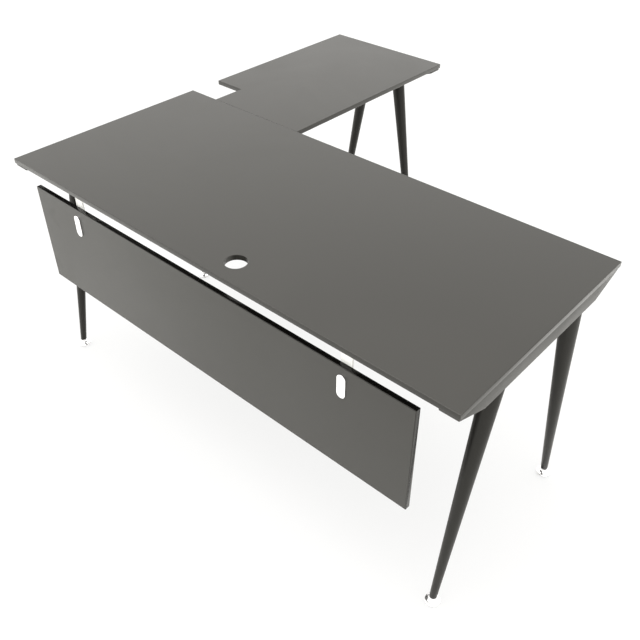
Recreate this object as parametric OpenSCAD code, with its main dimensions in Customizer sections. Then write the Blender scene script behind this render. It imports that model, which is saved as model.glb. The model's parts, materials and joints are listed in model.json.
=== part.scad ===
// Corner desk: a long main top on two bevelled rails, a shorter return top on a
// third rail, six splayed conical legs with levelling feet, and a hung modesty panel.
// Everything is drawn from the main top's front-left corner on the floor, with X along
// the main top, Y towards the return and Z up; place() then centres the footprint.

/* [Main top] */
// Length of the main top
main_w = 1600; // [1200:10:2000]
// Depth of the main top
main_d = 705; // [600:5:800]
// Height of the worktops above the floor
desk_h = 755; // [700:5:800]
// Thickness of both tops
top_t = 15; // [15:1:25]
// Thickness of the edge band round every board
band_t = 2; // [1:0.5:3]

/* [Return top] */
// Width of the return top
return_w = 505; // [450:5:600]
// Length of the return top beyond the main top
return_l = 795; // [700:5:1000]
// Side of the square cable notch at the inner joint
notch = 120; // [80:5:140]

/* [Cable hole] */
// Diameter of the cable hole
hole_d = 60; // [50:1:80]
// Distance of the cable hole from the middle of the main top
hole_x = 96; // [-200:1:200]
// Distance of the cable hole from the front edge
hole_y = 70; // [50:1:90]

/* [Modesty panel] */
// Length of the panel
panel_w = 1400; // [1000:10:1440]
// Height of the panel
panel_h = 320; // [250:5:400]
// Thickness of the panel
panel_t = 15; // [12:1:19]
// Gap between the panel and the underside of the top
panel_gap = 42; // [30:1:60]
// Distance between the two hangers
hanger_pitch = 1000; // [700:10:1100]
// Width of each hanger strap
hanger_w = 32; // [26:1:40]
// Thickness of each hanger strap
hanger_t = 5; // [3:1:6]
// Length of each cover plate
cover_h = 68; // [60:1:90]
// Width of each cover plate
cover_w = 25; // [20:1:32]
// Thickness of each cover plate
cover_t = 4; // [3:1:5]

/* [End rails] */
// Width of a rail
rail_w = 50; // [40:1:60]
// Height of a rail
rail_h = 48; // [40:1:60]
// Height left at the rail's tips
rail_tip = 8; // [6:1:12]
// Length of the sloping part at each end
rail_bevel = 103; // [60:1:110]
// Sheet thickness of a rail
rail_wall = 2; // [1.5:0.5:3]
// Distance from the top's edge to the rail
rail_inset = 3; // [0:1:10]

/* [Beams] */
// Width of a beam
beam_w = 50; // [40:1:60]
// Height of a beam
beam_h = 30; // [25:1:40]
// Wall thickness of a beam
beam_wall = 2; // [1.5:0.5:3]
// Distance of the front beam from the front edge
front_beam_y = 150; // [130:5:200]
// Distance of the rear beam from the front edge
rear_beam_y = 520; // [400:5:560]
// Distance of each return beam from the return's middle line
return_beam_x = 90; // [80:5:100]

/* [Legs] */
// Diameter at the top of a leg
leg_top_d = 50; // [40:1:50]
// Diameter at the bottom of a leg
leg_end_d = 20; // [18:1:26]
// Wall thickness of a leg
leg_wall = 2; // [1.5:0.5:2]
// Distance from the end of the top to a leg's upper end
leg_top_in = 179; // [160:1:200]
// Distance from the end of the top to a leg's lower end
leg_end_in = 64.5; // [50:0.5:120]

/* [Feet] */
// Diameter of a levelling foot
foot_d = 44; // [36:1:50]
// Height of a leg's lower end above the floor
foot_h = 24; // [22:1:30]
// Diameter of the foot's threaded stud
stud_d = 8; // [8:1:10]
// Length of stud that stands above a foot
stud_l = 22; // [20:1:26]

/* [Hidden] */
$fn = 64;

board_colour = [0.44, 0.43, 0.40];
steel_colour = [0.29, 0.29, 0.27];
white_colour = [0.94, 0.94, 0.92];
chrome_colour = [0.88, 0.88, 0.90];
zinc_colour = [0.70, 0.70, 0.68];
rubber_colour = [0.10, 0.10, 0.10];

eps = 1;                                   // how far a cutter runs past what it cuts
under_z = desk_h - top_t;                  // underside of both tops
rail_z = under_z - rail_h;                 // underside of the rails
beam_z = under_z - beam_h;                 // underside of the beams
far_y = main_d + return_l;                 // far edge of the return top
panel_x = (main_w - panel_w) / 2;
panel_z = under_z - panel_gap - panel_h;
rail_in = rail_inset + rail_w;             // inner face of a rail, from the top's end

// Fasteners
bolt_r = 4;
bolt_hole_r = 4.2;
thread_r = 4.05;
bolt_head_w = 13;
bolt_head_h = 5.3;
nut_h = 6.5;
small_stud_r = 2.5;
small_hole_r = 2.75;
small_nut_w = 8;
small_nut_h = 4;
screw_r = 2;
pilot_r = 2.05;
screw_hole_r = 2.6;
screw_head_r = 4.75;
screw_head_h = 3;
screw_bite = 11;                           // how far a screw enters a top
pilot_depth = 12;

// Lugs, flanges and plates
lug_w = 30;
lug_l = 22;
lug_t = 3;
lug_hole = 12;                             // from the lug's root to its hole
flange_t = 4;
flange_ear = 25;                           // what a flange adds on each side of its beam
ear_hole = 12.5;                           // from the beam's side to the flange's hole
plate_w = 50;
plate_l = 120;
hanger_reach = 65;                         // length of the hanger's upper arm
hanger_drop = 140;                         // length of the hanger's upright
hanger_holes = [25, 50];                   // along the upper arm, from the panel's back
cover_stud_pitch = 36;
leg_bolt_pitch = 24;
spreader_w = 40;
spreader_l = 60;
spreader_t = 3;
insert_h = 12;
plug_h = 28;
weld_gap = 0.1;
sole_r = 17;
sole_h = 2.5;
foot_rim_r = 4;                            // radius of the foot's rounded rim
foot_neck_r = 8;
neck_gap = 0.5;                            // play under the leg when screwed right in
stud_seat = 6;                             // height at which the stud is set in the foot

// Places that repeat
left_x = rail_inset + rail_w / 2;
right_x = main_w - left_x;
return_leg_y = far_y - left_x;
hanger_xs = [main_w / 2 - hanger_pitch / 2, main_w / 2 + hanger_pitch / 2];
cover_z = panel_z + panel_h - cover_h / 2 - 21.5;
rail_lugs = [260, main_d / 2, main_d - 260];
return_rail_lugs = [return_w / 2];
beam_lugs = [140, 560, 990, 1400];
return_beam_lugs = [640, 870, 1120, 1370];
plate_xs = [return_w / 2 - plate_w / 2, return_w - plate_w - 25];
plate_holes = [-45, -20, 20, 45];
return_beams = [return_w / 2 - return_beam_x, return_w / 2 + return_beam_x];
beam_middles = [front_beam_y + beam_w / 2, rear_beam_y + beam_w / 2];

// Each leg: [x, y] of its upper end and [x, y] of its lower end
leg_spots = [
    [[left_x, leg_top_in], [left_x, leg_end_in]],
    [[right_x, leg_top_in], [right_x, leg_end_in]],
    [[left_x, main_d - leg_top_in], [left_x, main_d - leg_end_in]],
    [[right_x, main_d - leg_top_in], [right_x, main_d - leg_end_in]],
    [[leg_top_in, return_leg_y], [leg_end_in, return_leg_y]],
    [[return_w - leg_top_in, return_leg_y], [return_w - leg_end_in, return_leg_y]]
];

// Screws that come up into each top, as [x, y]
main_screws = concat(
    [for (y = rail_lugs) [rail_in + lug_hole, y]],
    [for (y = rail_lugs) [main_w - rail_in - lug_hole, y]],
    [for (x = beam_lugs) [x, front_beam_y + beam_w + lug_hole]],
    [for (x = beam_lugs) [x, rear_beam_y - lug_hole]],
    [for (x = plate_xs, d = plate_holes) if (d < 0) [x + plate_w / 2, main_d + d]],
    [for (y = return_beam_lugs, s = [-1, 1]) if (y < main_d) [return_lug_hole_x(s), y]]
);
return_screws = concat(
    [for (x = return_rail_lugs) [x, far_y - rail_in - lug_hole]],
    [for (x = plate_xs, d = plate_holes) if (d > 0) [x + plate_w / 2, main_d + d]],
    [for (y = return_beam_lugs, s = [-1, 1]) if (y > main_d) [return_lug_hole_x(s), y]]
);
hanger_spots = [for (x = hanger_xs, d = hanger_holes) [x, panel_t + d]];

// The return beams carry their lugs on the sides that face away from each other
function return_lug_hole_x(side) =
    return_w / 2 + side * (return_beam_x + beam_w / 2 + lug_hole);

// Centres the footprint, cover plates included, on the origin
module place() {
    translate([-main_w / 2, -(far_y - cover_t) / 2, 0]) children();
}

module screw_pilots(spots) {
    for (p = spots)
        translate([p[0], p[1], under_z - eps]) cylinder(r = pilot_r, h = pilot_depth + eps);
}

// ---- Tops ----

module main_top() {
    color(board_colour) place() difference() {
        translate([band_t, band_t, under_z])
            cube([main_w - 2 * band_t, main_d - 2 * band_t, top_t]);
        translate([main_w / 2 + hole_x, hole_y, under_z - eps])
            cylinder(d = hole_d, h = top_t + 2 * eps, $fn = 96);
        screw_pilots(main_screws);
        screw_pilots(hanger_spots);
    }
}

module main_top_edging() {
    color(board_colour) place() {
        for (y = [0, main_d - band_t])
            translate([0, y, under_z]) cube([main_w, band_t, top_t]);
        for (x = [0, main_w - band_t])
            translate([x, band_t, under_z]) cube([band_t, main_d - 2 * band_t, top_t]);
    }
}

module return_top() {
    color(board_colour) place() difference() {
        translate([band_t, main_d + band_t, under_z])
            cube([return_w - 2 * band_t, return_l - 2 * band_t, top_t]);
        translate([band_t - eps, main_d + band_t - eps, under_z - eps])
            cube([notch + eps, notch + eps, top_t + 2 * eps]);
        screw_pilots(return_screws);
    }
}

module return_top_edging() {
    color(board_colour) place() translate([0, main_d, under_z]) {
        translate([notch, 0, 0]) cube([return_w - notch, band_t, top_t]);
        translate([notch, band_t, 0]) cube([band_t, notch, top_t]);
        translate([0, notch, 0]) cube([notch, band_t, top_t]);
        translate([0, notch + band_t, 0]) cube([band_t, return_l - notch - 2 * band_t, top_t]);
        translate([return_w - band_t, band_t, 0]) cube([band_t, return_l - 2 * band_t, top_t]);
        translate([0, return_l - band_t, 0]) cube([return_w, band_t, top_t]);
    }
}

// ---- Modesty panel and its hangers ----

module cover_stud_holes(r, from_y, to_y) {
    for (x = hanger_xs, d = [-cover_stud_pitch / 2, cover_stud_pitch / 2])
        translate([x, to_y, cover_z + d]) rotate([90, 0, 0]) cylinder(r = r, h = to_y - from_y);
}

module modesty_panel() {
    color(board_colour) place() difference() {
        translate([panel_x + band_t, 0, panel_z + band_t])
            cube([panel_w - 2 * band_t, panel_t, panel_h - 2 * band_t]);
        cover_stud_holes(small_hole_r, -eps, panel_t + eps);
    }
}

module modesty_panel_edging() {
    color(board_colour) place() translate([panel_x, 0, panel_z]) {
        for (z = [0, panel_h - band_t])
            translate([0, 0, z]) cube([panel_w, panel_t, band_t]);
        for (x = [0, panel_w - band_t])
            translate([x, 0, band_t]) cube([band_t, panel_t, panel_h - 2 * band_t]);
    }
}

// An angled strap: an arm under the top and an upright down the panel's back
module panel_hanger(i) {
    color(white_colour) place() difference() {
        union() {
            translate([hanger_xs[i] - hanger_w / 2, panel_t, under_z - hanger_drop])
                cube([hanger_w, hanger_t, hanger_drop]);
            translate([hanger_xs[i] - hanger_w / 2, panel_t, under_z - hanger_t])
                cube([hanger_w, hanger_reach, hanger_t]);
        }
        cover_stud_holes(small_hole_r, panel_t - eps, panel_t + hanger_t + eps);
        for (p = hanger_spots)
            translate([p[0], p[1], under_z - hanger_t - eps])
                cylinder(r = screw_hole_r, h = hanger_t + 2 * eps);
    }
}

// A round-ended plate with two studs that reach through the panel and the hanger
module panel_cover(i) {
    straight = cover_h - cover_w;
    stud = panel_t + hanger_t + small_nut_h + 2;
    color(chrome_colour) place() translate([hanger_xs[i], 0, cover_z]) {
        rotate([90, 0, 0]) linear_extrude(cover_t) {
            translate([-cover_w / 2, -straight / 2]) square([cover_w, straight]);
            for (s = [-1, 1]) translate([0, s * straight / 2]) circle(d = cover_w);
        }
        for (s = [-1, 1])
            translate([0, -eps, s * cover_stud_pitch / 2])
                rotate([-90, 0, 0]) cylinder(r = small_stud_r, h = stud + eps);
    }
}

module panel_nuts() {
    color(zinc_colour) place() difference() {
        for (x = hanger_xs, s = [-1, 1])
            translate([x, panel_t + hanger_t, cover_z + s * cover_stud_pitch / 2])
                rotate([-90, 0, 0]) cylinder(d = small_nut_w / cos(30), h = small_nut_h, $fn = 6);
        cover_stud_holes(small_stud_r + 0.05, panel_t, panel_t + hanger_t + small_nut_h + eps);
    }
}

// ---- Fasteners ----

// Wood screw that points up, with its head's upper face at the origin
module wood_screw(grip) {
    translate([0, 0, -screw_head_h]) cylinder(r = screw_head_r, h = screw_head_h);
    translate([0, 0, -eps]) cylinder(r = screw_r, h = grip + screw_bite + eps);
}

// Hexagon bolt that points down, with the underside of its head at the origin
module hex_bolt(length) {
    cylinder(d = bolt_head_w / cos(30), h = bolt_head_h, $fn = 6);
    translate([0, 0, -length]) cylinder(r = bolt_r, h = length + eps);
}

module hex_nut() {
    difference() {
        cylinder(d = bolt_head_w / cos(30), h = nut_h, $fn = 6);
        translate([0, 0, -eps]) cylinder(r = thread_r, h = nut_h + 2 * eps);
    }
}

module hanger_screws() {
    color(zinc_colour) place() for (p = hanger_spots)
        translate([p[0], p[1], under_z - hanger_t]) wood_screw(hanger_t);
}

module top_screws() {
    color(zinc_colour) place() for (p = concat(main_screws, return_screws))
        translate([p[0], p[1], under_z - lug_t]) wood_screw(lug_t);
}

// ---- End rails ----

// Side view of a rail, drawn downwards from the tops' underside; inner is true for the
// space inside, which is the same outline moved in by the sheet and open at the top
module rail_outline(length, inner) {
    slope = (rail_h - rail_tip) / rail_bevel;
    rise = rail_wall * sqrt(1 + slope * slope);
    w = inner ? rail_wall : 0;
    tip = inner ? rail_tip + slope * rail_wall - rise : rail_tip;
    corner = inner ? rail_bevel + (rise - rail_wall) / slope : rail_bevel;
    top = inner ? eps : 0;
    polygon([
        [w, top], [w, -tip], [corner, w - rail_h], [length - corner, w - rail_h],
        [length - w, -tip], [length - w, top]
    ]);
}

// A rail along X, with its back at Y = 0, its front at Y = rail_w and its top at Z = 0
module rail_channel(length) {
    difference() {
        translate([0, rail_w, 0]) rotate([90, 0, 0])
            linear_extrude(rail_w) rail_outline(length, false);
        translate([0, rail_w - rail_wall, 0]) rotate([90, 0, 0])
            linear_extrude(rail_w - 2 * rail_wall) rail_outline(length, true);
    }
}

// A lug that stands out along +Y from Y = 0, with its upper face at Z = 0
module lug() {
    translate([-lug_w / 2, 0, -lug_t]) difference() {
        cube([lug_w, lug_l, lug_t]);
        translate([lug_w / 2, lug_hole, -eps]) cylinder(r = screw_hole_r, h = lug_t + 2 * eps);
    }
}

// A whole rail along X: lugs at the given places, bolt holes for the legs in the bottom
// and for the beams' flanges in the inner wall
module rail(length, lugs, legs, beams) {
    difference() {
        union() {
            rail_channel(length);
            for (x = lugs) translate([x, rail_w, 0]) lug();
        }
        for (x = legs, s = [-1, 1])
            translate([x + s * leg_bolt_pitch / 2, rail_w / 2, -rail_h - eps])
                cylinder(r = bolt_hole_r, h = rail_wall + 2 * eps);
        for (x = beams, s = [-1, 1])
            translate([x + s * (beam_w / 2 + ear_hole), rail_w + eps, -beam_h / 2])
                rotate([90, 0, 0]) cylinder(r = bolt_hole_r, h = rail_wall + 2 * eps);
    }
}

module main_rail() {
    shift = rail_inset;
    rail(
        main_d - 2 * rail_inset,
        [for (y = rail_lugs) y - shift],
        [leg_top_in - shift, main_d - leg_top_in - shift],
        [for (y = beam_middles) y - shift]
    );
}

module end_rail_left() {
    color(steel_colour) place()
        translate([rail_inset, main_d - rail_inset, under_z]) rotate([0, 0, -90]) mirror([1, 0, 0])
            translate([-(main_d - 2 * rail_inset), 0, 0]) main_rail();
}

module end_rail_right() {
    color(steel_colour) place()
        translate([main_w - rail_inset, rail_inset, under_z]) rotate([0, 0, 90]) main_rail();
}

module return_end_rail() {
    color(steel_colour) place()
        translate([rail_inset, far_y - rail_inset, under_z]) mirror([0, 1, 0]) rail(
            return_w - 2 * rail_inset,
            [for (x = return_rail_lugs) x - rail_inset],
            [leg_top_in - rail_inset, return_w - leg_top_in - rail_inset],
            [for (x = return_beams) x - rail_inset]
        );
}

// ---- Beams ----

// A square tube along X with an eared flange at each end, centred on Y = 0, top at Z = 0
module beam(length, lugs, lug_side) {
    flange_w = beam_w + 2 * flange_ear;
    difference() {
        union() {
            translate([0, -beam_w / 2, -beam_h]) cube([length, beam_w, beam_h]);
            for (x = [0, length - flange_t])
                translate([x, -flange_w / 2, -beam_h]) cube([flange_t, flange_w, beam_h]);
            for (x = lugs)
                translate([x, lug_side * beam_w / 2, 0]) mirror([0, lug_side < 0 ? 1 : 0, 0]) lug();
        }
        translate([-eps, beam_wall - beam_w / 2, beam_wall - beam_h])
            cube([length + 2 * eps, beam_w - 2 * beam_wall, beam_h - 2 * beam_wall]);
        for (x = [0, length - flange_t], s = [-1, 1])
            translate([x - eps, s * (beam_w / 2 + ear_hole), -beam_h / 2])
                rotate([0, 90, 0]) cylinder(r = bolt_hole_r, h = flange_t + 2 * eps);
    }
}

module front_beam() {
    color(steel_colour) place() translate([rail_in, beam_middles[0], under_z])
        beam(main_w - 2 * rail_in, [for (x = beam_lugs) x - rail_in], 1);
}

module rear_beam() {
    color(steel_colour) place() difference() {
        translate([rail_in, beam_middles[1], under_z])
            beam(main_w - 2 * rail_in, [for (x = beam_lugs) x - rail_in], -1);
        for (x = return_beams, s = [-1, 1])
            translate([x + s * (beam_w / 2 + ear_hole), rear_beam_y + beam_w + eps, under_z - beam_h / 2])
                rotate([90, 0, 0]) cylinder(r = bolt_hole_r, h = beam_wall + 2 * eps);
    }
}

// A return beam runs from the rear beam's back to the return rail's inner face
module return_beam(i) {
    start = rear_beam_y + beam_w;
    color(steel_colour) place() translate([return_beams[i], start, under_z]) rotate([0, 0, 90])
        beam(far_y - rail_in - start, [for (y = return_beam_lugs) y - start], i == 0 ? 1 : -1);
}

// Bolt axes: [x, y] where each head bears, and the turn about Z that its shank points to
bolt_spots = concat(
    [for (y = beam_middles, s = [-1, 1])
        [rail_in - rail_wall, y + s * (beam_w / 2 + ear_hole), 0]],
    [for (y = beam_middles, s = [-1, 1])
        [main_w - rail_in + rail_wall, y + s * (beam_w / 2 + ear_hole), 180]],
    [for (x = return_beams, s = [-1, 1])
        [x + s * (beam_w / 2 + ear_hole), far_y - rail_in + rail_wall, -90]]
);
rivet_spots = [for (x = return_beams, s = [-1, 1])
    [x + s * (beam_w / 2 + ear_hole), rear_beam_y + beam_w + flange_t, -90]];

// Turns a bolt or nut, drawn pointing down, to lie level and point along a turn about Z
module level_bolt(spot) {
    translate([spot[0], spot[1], under_z - beam_h / 2]) rotate([0, 0, spot[2]])
        rotate([0, -90, 0]) children();
}

module beam_bolts() {
    color(zinc_colour) place() for (p = concat(bolt_spots, rivet_spots))
        level_bolt(p) hex_bolt(rail_wall + flange_t + nut_h + 3);
}

module beam_nuts() {
    color(zinc_colour) place() for (p = bolt_spots)
        level_bolt(p) translate([0, 0, -rail_wall - flange_t - nut_h]) hex_nut();
}

module rivet_nuts() {
    length = 10;
    color(zinc_colour) place() for (p = rivet_spots)
        level_bolt(p) translate([0, 0, -flange_t - beam_wall - length]) difference() {
            cylinder(r = thread_r + 1.5, h = length);
            translate([0, 0, -eps]) cylinder(r = thread_r, h = length + 2 * eps);
        }
}

module joint_plates() {
    color(zinc_colour) place() for (x = plate_xs)
        translate([x, main_d - plate_l / 2, under_z - lug_t]) difference() {
            cube([plate_w, plate_l, lug_t]);
            for (d = plate_holes)
                translate([plate_w / 2, plate_l / 2 + d, -eps])
                    cylinder(r = screw_hole_r, h = lug_t + 2 * eps);
        }
}

// ---- Legs ----

// A cone along the leg's slanting axis, cut level at low_z and high_z; gap makes it thinner
module leg_cone(i, gap, low_z, high_z) {
    run = leg_spots[i][0] - leg_spots[i][1];
    rise = rail_z - foot_h;
    axis_l = sqrt(run * run + rise * rise);
    spare = 20;
    taper = (leg_top_d - leg_end_d) / 2 / axis_l;
    tilt = atan(sqrt(run * run) / rise);
    intersection() {
        translate([leg_spots[i][1][0], leg_spots[i][1][1], foot_h])
            rotate([0, 0, atan2(run[1], run[0])]) rotate([0, tilt, 0])
                translate([0, 0, -spare]) cylinder(
                    r1 = leg_end_d / 2 - gap - spare * taper,
                    r2 = leg_top_d / 2 - gap + spare * taper,
                    h = axis_l + 2 * spare
                );
        translate([-main_w, -main_w, low_z]) cube([3 * main_w, 3 * main_w, high_z - low_z]);
    }
}

module leg(i) {
    color(steel_colour) place() difference() {
        leg_cone(i, 0, foot_h, rail_z);
        leg_cone(i, leg_wall, foot_h - eps, rail_z + eps);
    }
}

// Turns children so that X runs along the rail that carries leg i
module at_leg_top(i, z) {
    translate([leg_spots[i][0][0], leg_spots[i][0][1], z]) rotate([0, 0, i < 4 ? 90 : 0]) children();
}

module leg_bolt_holes(r, height) {
    for (s = [-1, 1])
        translate([s * leg_bolt_pitch / 2, 0, -eps]) cylinder(r = r, h = height + 2 * eps);
}

module leg_top_inserts() {
    color(zinc_colour) place() for (i = [0:5]) difference() {
        leg_cone(i, leg_wall + weld_gap, rail_z - insert_h, rail_z);
        at_leg_top(i, rail_z - insert_h) leg_bolt_holes(thread_r, insert_h);
    }
}

module leg_spreader_plates() {
    color(zinc_colour) place() for (i = [0:5]) at_leg_top(i, rail_z + rail_wall) difference() {
        translate([-spreader_l / 2, -spreader_w / 2, 0]) cube([spreader_l, spreader_w, spreader_t]);
        leg_bolt_holes(bolt_hole_r, spreader_t);
    }
}

module leg_bolts() {
    color(zinc_colour) place() for (i = [0:5]) at_leg_top(i, rail_z + rail_wall + spreader_t)
        for (s = [-1, 1]) translate([s * leg_bolt_pitch / 2, 0, 0])
            hex_bolt(spreader_t + rail_wall + insert_h - 1);
}

module leg_end_plugs() {
    color(zinc_colour) place() for (i = [0:5]) difference() {
        leg_cone(i, leg_wall + weld_gap, foot_h, foot_h + plug_h);
        translate([leg_spots[i][1][0], leg_spots[i][1][1], foot_h - eps])
            cylinder(r = thread_r, h = plug_h + 2 * eps);
    }
}

// ---- Levelling feet ----

module at_foot(i) {
    place() translate([leg_spots[i][1][0], leg_spots[i][1][1], 0]) children();
}

// A turned pad with a rounded rim, a shallow cone and a neck that stops against the leg
module pad(i) {
    rim = foot_d / 2 - foot_rim_r;
    shoulder = sole_h + 2 * foot_rim_r;
    color(chrome_colour) at_foot(i) difference() {
        rotate_extrude() {
            polygon([
                [0, sole_h], [rim, sole_h], [rim, shoulder], [foot_neck_r + 1, shoulder + 4],
                [foot_neck_r, shoulder + 5], [foot_neck_r, foot_h - neck_gap], [0, foot_h - neck_gap]
            ]);
            intersection() {
                translate([rim, sole_h + foot_rim_r]) circle(r = foot_rim_r);
                translate([rim - 1, 0]) square([foot_d, foot_h]);
            }
        }
        translate([0, 0, stud_seat]) cylinder(r = thread_r, h = foot_h);
    }
}

module stud(i) {
    color(zinc_colour) at_foot(i)
        translate([0, 0, stud_seat]) cylinder(d = stud_d, h = foot_h + stud_l - stud_seat);
}

module sole(i) {
    color(rubber_colour) at_foot(i) cylinder(r = sole_r, h = sole_h);
}

main_top();
main_top_edging();
return_top();
return_top_edging();
modesty_panel();
modesty_panel_edging();
panel_hanger(0);  // panel_hanger_left
panel_hanger(1);  // panel_hanger_right
panel_cover(0);  // panel_cover_left
panel_cover(1);  // panel_cover_right
panel_nuts();
hanger_screws();
end_rail_left();
end_rail_right();
return_end_rail();
front_beam();
rear_beam();
return_beam(0);  // return_beam_left
return_beam(1);  // return_beam_right
beam_bolts();
beam_nuts();
rivet_nuts();
joint_plates();
top_screws();
leg(0);  // leg_front_left
leg(1);  // leg_front_right
leg(2);  // leg_rear_left
leg(3);  // leg_rear_right
leg(4);  // leg_return_left
leg(5);  // leg_return_right
leg_top_inserts();
leg_spreader_plates();
leg_bolts();
leg_end_plugs();
pad(0);  // pad_front_left
pad(1);  // pad_front_right
pad(2);  // pad_rear_left
pad(3);  // pad_rear_right
pad(4);  // pad_return_left
pad(5);  // pad_return_right
stud(0);  // stud_front_left
stud(1);  // stud_front_right
stud(2);  // stud_rear_left
stud(3);  // stud_rear_right
stud(4);  // stud_return_left
stud(5);  // stud_return_right
sole(0);  // sole_front_left
sole(1);  // sole_front_right
sole(2);  // sole_rear_left
sole(3);  // sole_rear_right
sole(4);  // sole_return_left
sole(5);  // sole_return_right
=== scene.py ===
import json
import math

import bmesh
import bpy
from mathutils import Euler, Matrix, Vector


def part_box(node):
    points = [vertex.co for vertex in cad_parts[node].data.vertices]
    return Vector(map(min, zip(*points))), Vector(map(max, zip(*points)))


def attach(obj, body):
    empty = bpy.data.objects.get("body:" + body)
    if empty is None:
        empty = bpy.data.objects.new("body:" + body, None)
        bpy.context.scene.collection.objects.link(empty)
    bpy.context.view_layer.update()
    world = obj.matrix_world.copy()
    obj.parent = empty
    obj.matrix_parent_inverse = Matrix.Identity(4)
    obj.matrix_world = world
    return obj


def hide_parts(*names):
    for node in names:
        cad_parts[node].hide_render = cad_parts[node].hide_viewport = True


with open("model.json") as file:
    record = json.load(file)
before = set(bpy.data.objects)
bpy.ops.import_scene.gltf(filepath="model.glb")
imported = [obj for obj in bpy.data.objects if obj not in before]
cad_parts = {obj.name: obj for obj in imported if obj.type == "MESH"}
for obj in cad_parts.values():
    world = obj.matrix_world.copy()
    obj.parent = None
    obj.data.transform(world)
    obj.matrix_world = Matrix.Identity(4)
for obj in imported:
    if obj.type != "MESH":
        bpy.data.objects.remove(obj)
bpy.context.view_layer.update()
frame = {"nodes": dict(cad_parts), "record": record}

hair = 1e-5  # places nearer than this are the same place
print("frame loaded:", len(frame["nodes"]), "nodes")


# small tools for working on a piece

def clearSelection():
    bpy.ops.object.select_all(action="DESELECT")


def takeHold(piece):
    clearSelection()
    piece.select_set(True)
    bpy.context.view_layer.objects.active = piece


def settle(name):
    piece = bpy.context.object
    piece.name = name
    piece.data.name = name
    bpy.ops.object.transform_apply(location=True, rotation=True, scale=True)
    return piece


def startBlock(name, low, high):
    clearSelection()
    low, high = Vector(low), Vector(high)
    bpy.ops.mesh.primitive_cube_add(size=1, location=(low + high) / 2, scale=high - low)
    return settle(name)


def startRod(name, centre, radius, length, along="Z", sides=32):
    clearSelection()
    turn = {"X": (0, math.pi / 2, 0), "Y": (math.pi / 2, 0, 0), "Z": (0, 0, 0)}[along]
    bpy.ops.mesh.primitive_cylinder_add(
        vertices=sides, radius=radius, depth=length, location=centre, rotation=turn
    )
    return settle(name)


def drillBit(centre, radius, along="Z", depth=0.03):
    # a cutter for one round hole, with its middle at the centre given
    return startRod("drillBit", centre, radius, depth, along, 24)


def pick(piece, kind, test):
    # selects the faces, edges or corners that pass the test, and leaves the piece in edit mode
    takeHold(piece)
    bpy.ops.object.mode_set(mode="EDIT")
    bpy.ops.mesh.select_mode(type=kind)
    bpy.ops.mesh.select_all(action="DESELECT")
    shape = bmesh.from_edit_mesh(piece.data)
    parts = {"FACE": shape.faces, "EDGE": shape.edges, "VERT": shape.verts}[kind]
    for part in parts:
        if test(part):
            part.select_set(True)
    shape.select_flush_mode()
    bmesh.update_edit_mesh(piece.data)


def leaveEdit():
    bpy.ops.object.mode_set(mode="OBJECT")


def middleOf(part):
    corners = [corner.co for corner in part.verts]
    return sum(corners, Vector()) / len(corners)


def runOf(edge):
    # how far an edge reaches along X, Y and Z
    first, second = (corner.co for corner in edge.verts)
    return [abs(a - b) for a, b in zip(first, second)]


def applyAll(piece):
    takeHold(piece)
    for step in list(piece.modifiers):
        bpy.ops.object.modifier_apply(modifier=step.name)


def cutWith(piece, cutters):
    # takes the cutters away from the piece, as a drill or a saw would
    for cutter in cutters:
        cut = piece.modifiers.new("cut", "BOOLEAN")
        cut.operation = "DIFFERENCE"
        cut.solver = "EXACT"
        cut.object = cutter
    applyAll(piece)
    for cutter in cutters:
        bpy.data.objects.remove(cutter)
    return piece


def joinInto(piece, others):
    takeHold(piece)
    for other in others:
        other.select_set(True)
    bpy.ops.object.join()
    return piece


def giveWall(piece, thickness):
    # a shell gets its thickness inwards
    wall = piece.modifiers.new("wall", "SOLIDIFY")
    wall.thickness = thickness
    wall.offset = -1
    wall.use_even_offset = True
    applyAll(piece)


def bevelEdges(piece, width, segments=3, angle=30):
    soften = piece.modifiers.new("bevel", "BEVEL")
    soften.width = width
    soften.segments = segments
    soften.limit_method = "ANGLE"
    soften.angle_limit = math.radians(angle)
    soften.use_clamp_overlap = True
    applyAll(piece)


def twinOf(master, name, place):
    # a copy with its own mesh; the place is a matrix that turns it and moves it from where the master is
    twin = master.copy()
    twin.name = name
    twin.data = master.data.copy()
    twin.data.name = name
    twin.data.transform(place)
    bpy.context.scene.collection.objects.link(twin)
    return twin


def copiesOf(master, name, places):
    # one piece of many separate copies
    twins = [twinOf(master, "twin", place) for place in places]
    bpy.data.objects.remove(master)
    row = joinInto(twins[0], twins[1:])
    row.name = name
    row.data.name = name
    return row


def smooth(piece, angle=35):
    takeHold(piece)
    bpy.ops.object.shade_smooth_by_angle(angle=math.radians(angle))


def markArrises(piece, width):
    # narrow faces are the rounded arrises: the finishes read this to show handling and wear, and to paint a
    # highlight along them
    mesh = piece.data
    arris = mesh.attributes.new("arris", "FLOAT", "FACE")
    for face in mesh.polygons:
        edges = [(mesh.vertices[a].co - mesh.vertices[b].co).length for a, b in face.edge_keys]
        arris.data[face.index].value = 1.0 if min(edges) < width else 0.0


def finishPiece(piece, material, nodes, body="root", arrisWidth=0.0008, angle=35):
    smooth(piece, angle)
    markArrises(piece, arrisWidth)
    piece.data.materials.clear()
    piece.data.materials.append(material)
    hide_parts(*nodes)
    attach(piece, body)
    return piece


def finishCopies(master, rows, material, arrisWidth):
    # one finished copy for each row of piece name, CAD node and place
    for name, node, place in rows:
        finishPiece(twinOf(master, name, place), material, [node], arrisWidth=arrisWidth)
    bpy.data.objects.remove(master)


# shared effects: node groups

def newGroup(name, inputs, outputs):
    group = bpy.data.node_groups.new(name, "ShaderNodeTree")
    for label, kind, value in inputs:
        socket = group.interface.new_socket(name=label, in_out="INPUT", socket_type=kind)
        if value is not None:
            socket.default_value = value
    for label, kind in outputs:
        group.interface.new_socket(name=label, in_out="OUTPUT", socket_type=kind)
    return group, group.nodes.new("NodeGroupInput"), group.nodes.new("NodeGroupOutput")


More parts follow.
